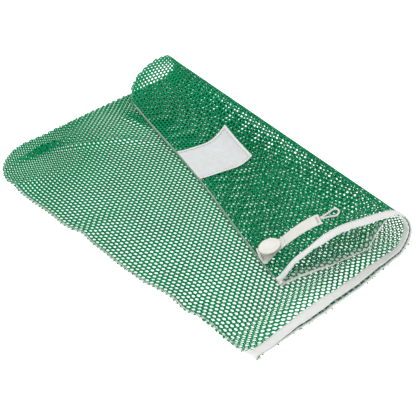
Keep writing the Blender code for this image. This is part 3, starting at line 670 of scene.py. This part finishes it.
def tape_wander(v, layer):
    """The tape's inner edge and its rim wander a little along the mouth."""
    loose = 1.0 + 0.7 * (1 - layer) * smooth((v - 0.45) / 0.05)
    edge = 0.0007 * np.sin(61.0 * v + layer) + 0.0004 * np.sin(143.0 * v + 1.0)
    rim = 0.0005 * np.sin(83.0 * v + 2.0) + 0.0003 * np.sin(190.0 * v)
    return edge * loose, rim * loose


def make_binding(half, which, layer, body):
    out = 1.0 if layer else -1.0
    high = out * (NET_THICKNESS / 2 + 0.0001 + TAPE_THICKNESS / 2)
    profile = (
        (1.0, 1.0), (0.75, 1.0), (0.5, 1.0), (0.25, 1.0), (0.09, 1.0), (-0.025, 0.7), (-0.05, 0.0),
        (-0.025, -0.7), (0.05, -1.0), (None, -1.0),
    )
    v = mouth_line(half, layer)
    share = tape_share(v, layer)
    edge, rim = tape_wander(v, layer)
    curl = (1 - layer) * smooth((v - 0.48) / 0.08)
    over_end = 1.0 + 0.7 * smooth((v - BAG_WIDTH + 0.006) / 0.006)
    turned_over = TAPE_TURN_OUTER if (half, which) == ("base", "outer") else TAPE_TURN
    at_bend = layer * (1.0 - smooth((v - 0.47) / 0.04)) if half == "flap" else 0.0
    points, flat = [], []
    for depth, lift in profile:
        if depth is None:
            depth = between(turned_over, 0.0, at_bend) / BINDING_WIDTH
        d = depth * BINDING_WIDTH * share + rim + (edge - rim) * np.maximum(depth, 0.0)
        crown = 0.0013 * curl * np.sin(math.pi * np.clip(depth, 0.0, 1.0)) * max(lift, 0.0)
        u = mouth_edge(v, layer) - d
        points.append(cloth(u, v, layer, (lift * high + out * crown) * over_end))
        flat.append(flat_of(0.0 * v + depth * BINDING_WIDTH, v))
    ob = tape(f"{half}_{which}_tape", np.stack(points, 1), TAPE_THICKNESS, np.stack(flat, 1))
    finish_piece(ob, TAPE, body, "binding_tape", f"{half}_{which}_binding")
    seam = f"{half}_{which}_binding_stitches"
    if (half, which) != ("base", "outer"):
        stitches(seam + "_thread", stitch_runs(v, layer, out), body, seam)


def stitch_runs(v, layer, out):
    """Lockstitches beside the tape's inner edge."""
    starts = np.arange(v[0] + 0.002, v[-1] - 0.009, STITCH_PITCH)
    t = np.linspace(0.0, 1.0, 7)
    along = starts[:, None] + STITCH_LENGTH * t
    share, (edge, rim) = tape_share(along, layer), tape_wander(along, layer)
    rise = NET_THICKNESS / 2 + TAPE_THICKNESS + 0.0001 + STITCH_RADIUS * (2.2 * np.sin(math.pi * t) - 1.0)
    crown = 0.0007 * (1 - layer) * smooth((along - 0.48) / 0.08)
    u = mouth_edge(along, layer) - (BINDING_WIDTH - 0.0022) * share - 0.2 * rim - 0.8 * edge
    return cloth(u, along, layer, out * (rise + crown))


def stitches(name, paths, body, *nodes):
    tangent = np.gradient(paths, axis=1)
    up = np.cross(tangent, np.roll(tangent, 1, axis=-1))
    ob = sweep(name, paths, STITCH_RADIUS, up, sides=5)
    return finish_piece(ob, THREAD_MAT, body, "sewing_thread", *nodes)


def make_corner_tape(node, body, v_edge, inward, length, fullness):
    """The binding's turned end, rolled round both panels at the mouth's corner and open at the mouth."""
    s = np.linspace(0.0, length, 16)
    flare = 1.0 + fullness * smooth(s / length) ** 2 + 0.05 * np.sin(2.5 * math.pi * s / length)
    high = (LAYER_PITCH + NET_THICKNESS) / 2 + TAPE_THICKNESS + CORNER_FULL
    points, flat = [], []
    for t in np.linspace(0.0, 1.0, 19):
        angle = math.pi * (1.3 * t - 0.65)
        depth = CORNER_DEPTH - CORNER_REACH * math.cos(angle) * flare
        u = BAG_LENGTH + CORNER_OUT - length + s
        ring = both_panels(u, v_edge + inward * depth, high * math.sin(angle) * flare)
        ring[:, 2] = np.maximum(ring[:, 2], TAPE_THICKNESS / 2 + 0.0001)
        points.append(ring)
        flat.append(flat_of(s, 0.0 * s + 0.012 * t))
    ob = tape(node + "_fold", np.stack(points, 1), TAPE_THICKNESS, np.stack(flat, 1))
    finish_piece(ob, TAPE, body, "binding_tape", node)


def make_bindings():
    for layer, which in enumerate(("outer", "inner")):
        make_binding("base", which, layer, "bag_base")
        make_binding("flap", which, layer, "flap")
    make_corner_tape("front_corner_tape", "bag_base", 0.0, 1.0, 0.0175, 0.75)
    make_corner_tape("back_corner_tape", "flap", BAG_WIDTH, -1.0, 0.0130, 0.15)


# The label patch.

PATCH_HEM = 0.0052  # width of the hem
PATCH_THICKNESS, HEM_THICKNESS = 0.0004, 0.00055
PATCH_LIFT = NET_THICKNESS / 2 + GAP + TAPE_THICKNESS / 2
HEM_STITCH_LIFT = 0.00095  # from the patch to its stitches


def over_seam(v):
    """Extra lift of a piece where it passes over the back side seam."""
    return 0.0008 * smooth((v - (BAG_WIDTH - SEAM_WIDTH - 0.005)) / 0.003)


def patch_flat(x, y):
    """Flat (u, v) at shares x along the seam and y away from it, with slightly hollow sides."""
    width, depth = PATCH_SIZE
    hollow = 0.0010 * np.sin(math.pi * y) * (1.0 - 2.0 * x)
    dip = 0.0012 * np.sin(math.pi * x) * smooth(y)
    return PATCH_START + width * x + PATCH_SKEW * y + hollow, BAG_WIDTH - 0.0008 - (depth - dip) * y


def make_patch():
    x, y = np.meshgrid(np.linspace(0, 1, 40), np.linspace(0, 1, 44), indexing="ij")
    u, v = patch_flat(x, y)
    puckers = 0.00025 * np.sin(70.0 * x + 3.0 * y) * np.sin(math.pi * y)
    points = cloth(u, v, 0, -(PATCH_LIFT + over_seam(v) + puckers))
    ob = tape("id_patch_cloth", points, PATCH_THICKNESS, flat_of(u, v))
    finish_piece(ob, PATCH, "flap", "patch_cloth", "id_patch")

    along, inset = hem_shares()
    u, v = patch_flat(*hem_point(along[:, None], inset))
    rise = PATCH_LIFT + HEM_THICKNESS + over_seam(v) + 0.00012 * np.sin(520.0 * along)[:, None]
    points = cloth(u, v, 0, -rise)
    ob = tape("id_patch_hem_fold", points, HEM_THICKNESS, flat_of(u, v))
    finish_piece(ob, HEM, "flap", "hem_cloth", "id_patch_hem")

    t = np.linspace(0.0, 1.0, 7)
    starts = np.arange(0.004, 1.0, 0.0125)
    paths = []
    for start in starts:
        at = start + 0.0100 * t
        u, v = patch_flat(*hem_point(at, 0.80 + 0.0 * at))
        arch = STITCH_RADIUS * (1.6 * np.sin(math.pi * t) - 0.6)
        rise = PATCH_LIFT + HEM_STITCH_LIFT + over_seam(v) + arch
        paths.append(cloth(u, v, 0, -rise))
    stitches("id_patch_stitch_thread", np.array(paths), "flap", "id_patch_stitches")


def hem_shares():
    """The hem's path from the seam round three sides, and its rows across."""
    corner = 0.5 - PATCH_SIZE[0] / (PATCH_SIZE[0] + 2 * PATCH_SIZE[1]) / 2
    first, last = np.linspace(0.0, corner, 40), np.linspace(1.0 - corner, 1.0, 40)
    runs = [first, np.linspace(corner, 1.0 - corner, 36), last]
    return np.unique(np.concatenate(runs)), np.linspace(0.0, 1.0, 5)


def hem_point(along, inset):
    """Shares (x, y) on the patch at a share along the hem and a share across it."""
    width, depth = PATCH_SIZE
    whole = width + 2 * depth
    s = along * whole
    y = np.clip(np.minimum(s, whole - s) / depth, 0.0, 1.0)
    x = np.clip((s - depth) / width, 0.0, 1.0)
    dx, dy = PATCH_HEM / width, PATCH_HEM / depth
    return x + inset * dx * (1.0 - 2.0 * x) * smooth(abs(2 * x - 1) * 30), y * (1.0 - inset * dy)


# The strap, its button and the elastic loop.

STRAP_LIFT = NET_THICKNESS / 2 + GAP + STRAP_THICKNESS / 2
SHANK_RADIUS = 0.0022
SHANK_SHORT = 0.0012  # how much shorter the shank is than the space under the leaning disc
LOOP_TURN = 118.0  # degrees of the loop's round end, on either side of its tip


def strap_uv(s, x):
    """Flat (u, v) at s along the strap from the seam and x across it, towards the mouth."""
    root, tip = np.array(STRAP_ROOT), np.array(STRAP_TIP)
    along = (tip - root) / np.linalg.norm(tip - root)
    s, x = np.broadcast_arrays(np.asarray(s, float), np.asarray(x, float))
    return root[0] + along[0] * s - along[1] * x, root[1] + along[1] * s + along[0] * x


def strap_point(s, x, extra=0.0):
    u, v = strap_uv(s, x)
    v = np.minimum(v, BAG_WIDTH)
    return lifted(u, v, 0, -(STRAP_LIFT + over_seam(v) + extra))


def strap_length():
    return math.dist(STRAP_ROOT, STRAP_TIP)


def half_width(s):
    """Half of the strap's width, which flares where it is sewn into the seam."""
    flare = 1.0 - smooth(np.asarray(s) / STRAP_FLARE_LENGTH)
    return between(STRAP_WIDTH / 2, STRAP_ROOT_FLARE / 2, flare)


def strap_strip(name, first, last, mat, body, node):
    s = np.linspace(first, last, int((last - first) / 0.0012))[:, None]
    side = np.linspace(-1.0, 1.0, 15)
    edge = 1.0 + 0.02 * np.sin(s * 1900.0)
    x = side * half_width(s) * edge
    edge_swell = 0.00022 * (abs(side) > 0.9)
    points = strap_point(s, x, edge_swell)
    ob = tape(name, points, STRAP_THICKNESS, flat_of(s, x))
    return finish_piece(ob, mat, body, "strap_tape", node)


def make_strap():
    strap_strip("strap_root_webbing", 0.0006, STRAP_HINGE_AT, STRAP, "flap", "strap_root")
    strap_strip("closure_strap_webbing", STRAP_HINGE_AT, strap_length(), STRAP, "strap", "closure_strap")
    over = STRAP_THICKNESS / 2 + 0.0005
    for node, s, reach, body in (
        ("strap_root_tack", 0.0050, 0.0125, "flap"),
        ("strap_end_tack", strap_length() - 0.0045, 0.0075, "strap"),
    ):
        x = np.linspace(-reach, reach, int(reach / 0.0004))
        zigzag = s + 0.0013 * (np.arange(len(x)) % 2 * 2 - 1)
        path = strap_point(zigzag, x, over)
        tack = stitches(node + "_thread", path[None], body, node)
        tack.data.materials[0] = CORD


def unit(vector):
    return vector / np.linalg.norm(vector)


def button_frame():
    """The button's seat on the strap, and its three unit axes, the last one facing up."""
    reach = 0.8 * BUTTON_RADIUS
    ahead, behind = strap_point(BUTTON_AT + reach, 0.0), strap_point(BUTTON_AT - reach, 0.0)
    right, left = strap_point(BUTTON_AT, reach), strap_point(BUTTON_AT, -reach)
    up = unit(np.cross(right - left, ahead - behind))
    x_axis = unit(np.cross(ahead - behind, up))
    return strap_point(BUTTON_AT, 0.0) + up * STRAP_THICKNESS / 2, x_axis, np.cross(up, x_axis), up


def disc_frame():
    """The disc's frame: it leans on its thread, from the strap's normal towards upright."""
    centre, x_axis, _, up = button_frame()
    axis = unit(up + np.array([0.0, 0.0, BUTTON_LEAN]))
    x_axis = unit(x_axis - axis * np.dot(x_axis, axis))
    return centre, x_axis, np.cross(axis, x_axis), axis


def turned(name, profile, seat, height, steps=72):
    """A solid of revolution about a seat's axis: profile is (radius, height) from the axis out."""
    centre, x_axis, y_axis, up = seat
    profile = np.array(profile)
    angle = np.arange(steps) * 2 * math.pi / steps
    radius, rise = profile[1:-1, 0], profile[1:-1, 1] + height
    out = np.cos(angle)[:, None, None] * x_axis + np.sin(angle)[:, None, None] * y_axis
    ring = centre + out * radius[:, None] + rise[:, None] * up
    ends = np.array([centre + up * (height + profile[k, 1]) for k in (0, -1)])
    points = np.concatenate([ring.reshape(-1, 3), ends])
    n = len(radius)
    faces = []
    for a in range(steps):
        b = (a + 1) % steps
        faces += [[a * n + k, b * n + k, b * n + k + 1, a * n + k + 1] for k in range(n - 1)]
        faces.append([steps * n, b * n, a * n])
        faces.append([steps * n + 1, a * n + n - 1, b * n + n - 1])
    return new_object(name, points, faces)


def rounded(profile, levels=3):
    """Rounds a profile off by cutting its corners, keeping both ends."""
    line = np.array(profile)
    for _ in range(levels):
        a, b = line[:-1], line[1:]
        cut = np.stack([between(a, b, 0.25), between(a, b, 0.75)], 1).reshape(-1, 2)
        line = np.concatenate([line[:1], cut, line[-1:]])
    return line


def make_button():
    r, t = BUTTON_RADIUS, BUTTON_THICKNESS
    disc = (
        (0.0, 0.0), (0.62 * r, 0.0), (0.90 * r, 0.10 * t), (1.005 * r, 0.46 * t), (0.985 * r, 0.82 * t),
        (0.90 * r, 1.0 * t), (0.76 * r, 0.99 * t), (0.60 * r, 0.72 * t), (0.30 * r, 0.60 * t),
        (0.10 * r, 0.56 * t), (0.0, 0.55 * t),
    )
    ob = turned("button_disc_moulding", rounded(disc), disc_frame(), BUTTON_CLEARANCE)
    finish_piece(ob, RUBBER, "button", "button_rubber", "button_disc")
    shank, top = SHANK_RADIUS, BUTTON_CLEARANCE - SHANK_SHORT
    post = ((0.0, 0.0), (shank, 0.0), (0.80 * shank, top / 2), (shank, top), (0.0, top))
    ob = turned("button_shank_thread", rounded(post), button_frame(), GAP, steps=24)
    finish_piece(ob, THREAD_MAT, "flap", "sewing_thread", "button_shank")


def loop_points():
    """The elastic's teardrop path, out from the strap's end and back."""
    turn = np.radians(np.linspace(-LOOP_TURN, LOOP_TURN, 15))
    radius = LOOP_WIDTH / 2
    tip = strap_length() + LOOP_LENGTH
    bend_s = tip - radius + radius * np.cos(turn)
    bend_x = radius * np.sin(turn)
    start = strap_length() + 2 * GAP
    neck = np.linspace(0.0, 1.0, 9)[:-1]
    leg_s = between(start, bend_s[0], neck)
    leg_x = between(-ELASTIC_RADIUS - GAP, bend_x[0], neck**1.7)
    s = np.concatenate([leg_s, bend_s, leg_s[::-1]])
    x = np.concatenate([leg_x, bend_x, -leg_x[::-1]])
    x = x - LOOP_LEAN * ((s - start) / LOOP_LENGTH) ** 1.5
    return strap_point(s, x, ELASTIC_RADIUS - STRAP_THICKNESS / 2)


def make_loop():
    points = loop_points()
    curve = bpy.data.curves.new("elastic_loop_cord", "CURVE")
    curve.dimensions = "3D"
    curve.bevel_depth = ELASTIC_RADIUS
    curve.bevel_resolution = 4
    curve.use_fill_caps = True
    curve.resolution_u = 6
    spline = curve.splines.new("NURBS")
    spline.points.add(len(points) - 1)
    for point, co in zip(spline.points, points):
        point.co = (*co, 1.0)
    spline.order_u = 4
    spline.use_endpoint_u = True
    ob = bpy.data.objects.new("elastic_loop_cord", curve)
    bpy.context.scene.collection.objects.link(ob)
    finish_piece(ob, CORD, "loop", "elastic_cord", "elastic_loop")


# Materials.


def node_material(name, colour, roughness, sheen=0.0):
    """A Principled material, its node tree and its shader."""
    mat = bpy.data.materials.new(name)
    mat.use_nodes = True
    shader = mat.node_tree.nodes["Principled BSDF"]
    shader.inputs["Base Color"].default_value = (*colour, 1.0)
    shader.inputs["Roughness"].default_value = roughness
    shader.inputs["Sheen Weight"].default_value = sheen
    shader.inputs["Sheen Roughness"].default_value = 0.5
    shader.inputs["Specular IOR Level"].default_value = 0.35
    return mat, mat.node_tree, shader


def add_node(tree, kind, **values):
    node = tree.nodes.new(kind)
    for key, value in values.items():
        if key in node.inputs:
            node.inputs[key].default_value = value
        else:
            setattr(node, key, value)
    return node


def coordinates(tree, flat):
    """The piece's flat coordinates, or its place in space where it has none."""
    if flat:
        return add_node(tree, "ShaderNodeAttribute", attribute_name="flat").outputs["Vector"]
    return add_node(tree, "ShaderNodeTexCoord").outputs["Object"]


def noise(tree, where, scale, detail=3.0):
    node = add_node(tree, "ShaderNodeTexNoise", Scale=scale, Detail=detail)
    tree.links.new(where, node.inputs["Vector"])
    return node.outputs["Fac"]


def stripes(tree, where, scale, direction, distortion=0.0):
    node = add_node(tree, "ShaderNodeTexWave", Scale=scale, Distortion=distortion)
    node.bands_direction = direction
    tree.links.new(where, node.inputs["Vector"])
    return node.outputs["Fac"]


def weigh(tree, a, b, share):
    """A share of a, and the rest of b."""
    first, second = mix_values(tree, "MULTIPLY", a, share), mix_values(tree, "MULTIPLY", b, 1.0 - share)
    return mix_values(tree, "ADD", first, second)


def mix_values(tree, kind, a, b):
    node = add_node(tree, "ShaderNodeMath", operation=kind)
    for socket, value in zip(node.inputs, (a, b)):
        if isinstance(value, float):
            socket.default_value = value
        else:
            tree.links.new(value, socket)
    return node.outputs[0]


def vary_colour(tree, shader, value, dark, light, low=0.3, high=0.7):
    ramp = tree.nodes.new("ShaderNodeValToRGB")
    ramp.color_ramp.elements[0].color = (*dark, 1.0)
    ramp.color_ramp.elements[0].position = low
    ramp.color_ramp.elements[1].color = (*light, 1.0)
    ramp.color_ramp.elements[1].position = high
    tree.links.new(value, ramp.inputs["Fac"])
    tree.links.new(ramp.outputs["Color"], shader.inputs["Base Color"])


def add_bump(tree, shader, height, strength, distance):
    bump = add_node(tree, "ShaderNodeBump", Strength=strength, Distance=distance)
    tree.links.new(height, bump.inputs["Height"])
    tree.links.new(bump.outputs["Normal"], shader.inputs["Normal"])


def net_material():
    mat, tree, shader = node_material("green_netting", (0.0, 0.28, 0.105), 0.55)
    shader.inputs["Specular IOR Level"].default_value = 0.08
    where = coordinates(tree, True)
    cloudy = noise(tree, where, 14.0)
    fine = noise(tree, where, 1500.0)
    value = weigh(tree, cloudy, fine, 0.6)
    vary_colour(tree, shader, value, (0.0, 0.23, 0.085), (0.0, 0.34, 0.135))
    knit = mix_values(tree, "ADD", stripes(tree, where, 420.0, "DIAGONAL", 2.0), fine)
    add_bump(tree, shader, knit, 0.5, 0.0003)
    return mat


def woven_material(name, dark, light, roughness, threads, flat=True, strength=0.35):
    """A plain weave: two sets of threads across each other, with slight unevenness."""
    mat, tree, shader = node_material(name, light, roughness, sheen=0.2)
    where = coordinates(tree, flat)
    warp, weft = stripes(tree, where, threads, "X"), stripes(tree, where, threads, "Y")
    weave = mix_values(tree, "MULTIPLY", warp, weft)
    uneven = noise(tree, where, 90.0, 5.0)
    shade = weigh(tree, weave, uneven, 0.35)
    vary_colour(tree, shader, shade, dark, light)
    add_bump(tree, shader, weave, strength, 0.0002)
    return mat


def thread_material():
    mat, tree, shader = node_material("overlock_thread", (0.72, 0.74, 0.72), 0.7, sheen=0.3)
    where = coordinates(tree, False)
    fibre = noise(tree, where, 2500.0)
    vary_colour(tree, shader, noise(tree, where, 60.0), (0.48, 0.53, 0.49), (0.72, 0.75, 0.72))
    add_bump(tree, shader, fibre, 0.4, 0.0002)
    return mat


def rubber_material():
    mat, tree, shader = node_material("button_rubber", (0.74, 0.73, 0.68), 0.42)
    where = coordinates(tree, False)
    vary_colour(tree, shader, noise(tree, where, 45.0), (0.70, 0.69, 0.63), (0.78, 0.77, 0.73))
    add_bump(tree, shader, noise(tree, where, 900.0), 0.12, 0.0002)
    return mat


NET = net_material()
THREAD_MAT = thread_material()
TAPE = woven_material("binding_tape", (0.70, 0.71, 0.69), (0.82, 0.82, 0.81), 0.75, 330.0)
PATCH = woven_material("patch_cloth", (0.63, 0.65, 0.65), (0.72, 0.735, 0.735), 0.70, 520.0)
HEM = woven_material("hem_cloth", (0.72, 0.73, 0.72), (0.83, 0.83, 0.82), 0.70, 520.0)
STRAP = woven_material("strap_tape", (0.68, 0.67, 0.62), (0.79, 0.78, 0.74), 0.72, 260.0, strength=0.6)
CORD = woven_material("elastic_cord", (0.70, 0.70, 0.67), (0.84, 0.84, 0.81), 0.65, 420.0, flat=False)
RUBBER = rubber_material()


# The camera, the floor and the lights.

AIM = Vector((0.0331, -0.02915, 0.0))
VIEW_AZIMUTH, VIEW_ELEVATION = math.radians(45.57), math.radians(35.49)
VIEW_DISTANCE = 1.484
FLOOR_HALF = 6.0
FLOOR_DROP = 0.0002  # how far the floor lies under the bag


def make_camera():
    data = bpy.data.cameras.new("camera")
    data.lens = 86.5
    data.sensor_width = 36.0
    ob = bpy.data.objects.new("camera", data)
    bpy.context.scene.collection.objects.link(ob)
    level = math.cos(VIEW_ELEVATION)
    back = Vector((
        math.sin(VIEW_AZIMUTH) * level, -math.cos(VIEW_AZIMUTH) * level, math.sin(VIEW_ELEVATION),
    ))
    ob.location = AIM + VIEW_DISTANCE * back
    ob.rotation_euler = (math.pi / 2 - VIEW_ELEVATION, 0.0, VIEW_AZIMUTH)
    bpy.context.scene.camera = ob


def make_light(name, place_at, size, energy):
    data = bpy.data.lights.new(name, "AREA")
    data.size = size
    data.energy = energy
    ob = bpy.data.objects.new(name, data)
    ob.location = place_at
    ob.rotation_euler = Vector(place_at).to_track_quat("Z", "Y").to_euler()
    bpy.context.scene.collection.objects.link(ob)


def make_stage():
    corners = np.array([(-1, -1, 0), (1, -1, 0), (1, 1, 0), (-1, 1, 0)], float) * FLOOR_HALF
    floor = new_object("floor", corners - (0, 0, FLOOR_DROP), [[0, 1, 2, 3]])
    mat, _, shader = node_material("floor", (0.90, 0.90, 0.90), 0.9)
    shader.inputs["Emission Color"].default_value = (1.0, 1.0, 1.0, 1.0)
    shader.inputs["Emission Strength"].default_value = 0.80
    floor.data.materials.append(mat)
    world = bpy.data.worlds.new("studio")
    bpy.context.scene.world = world
    world.use_nodes = True
    background = world.node_tree.nodes["Background"]
    background.inputs["Color"].default_value = (1.0, 1.0, 1.0, 1.0)
    background.inputs["Strength"].default_value = 0.75
    make_light("key", (-1.2, 0.4, 1.9), 1.6, 22.0)
    make_light("fill", (1.3, -1.5, 1.6), 2.0, 10.0)
    bpy.context.scene.view_settings.view_transform = "Standard"


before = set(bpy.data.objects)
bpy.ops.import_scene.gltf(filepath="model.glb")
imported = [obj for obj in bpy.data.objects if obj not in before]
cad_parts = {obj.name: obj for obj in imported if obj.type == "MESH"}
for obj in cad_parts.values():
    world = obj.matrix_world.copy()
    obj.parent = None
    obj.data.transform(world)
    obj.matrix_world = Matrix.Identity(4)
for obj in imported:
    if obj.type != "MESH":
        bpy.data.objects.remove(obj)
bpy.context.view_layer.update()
make_camera()
make_loop()
make_stage()
make_nets()
make_seams()
make_bindings()
make_patch()
make_strap()
make_button()
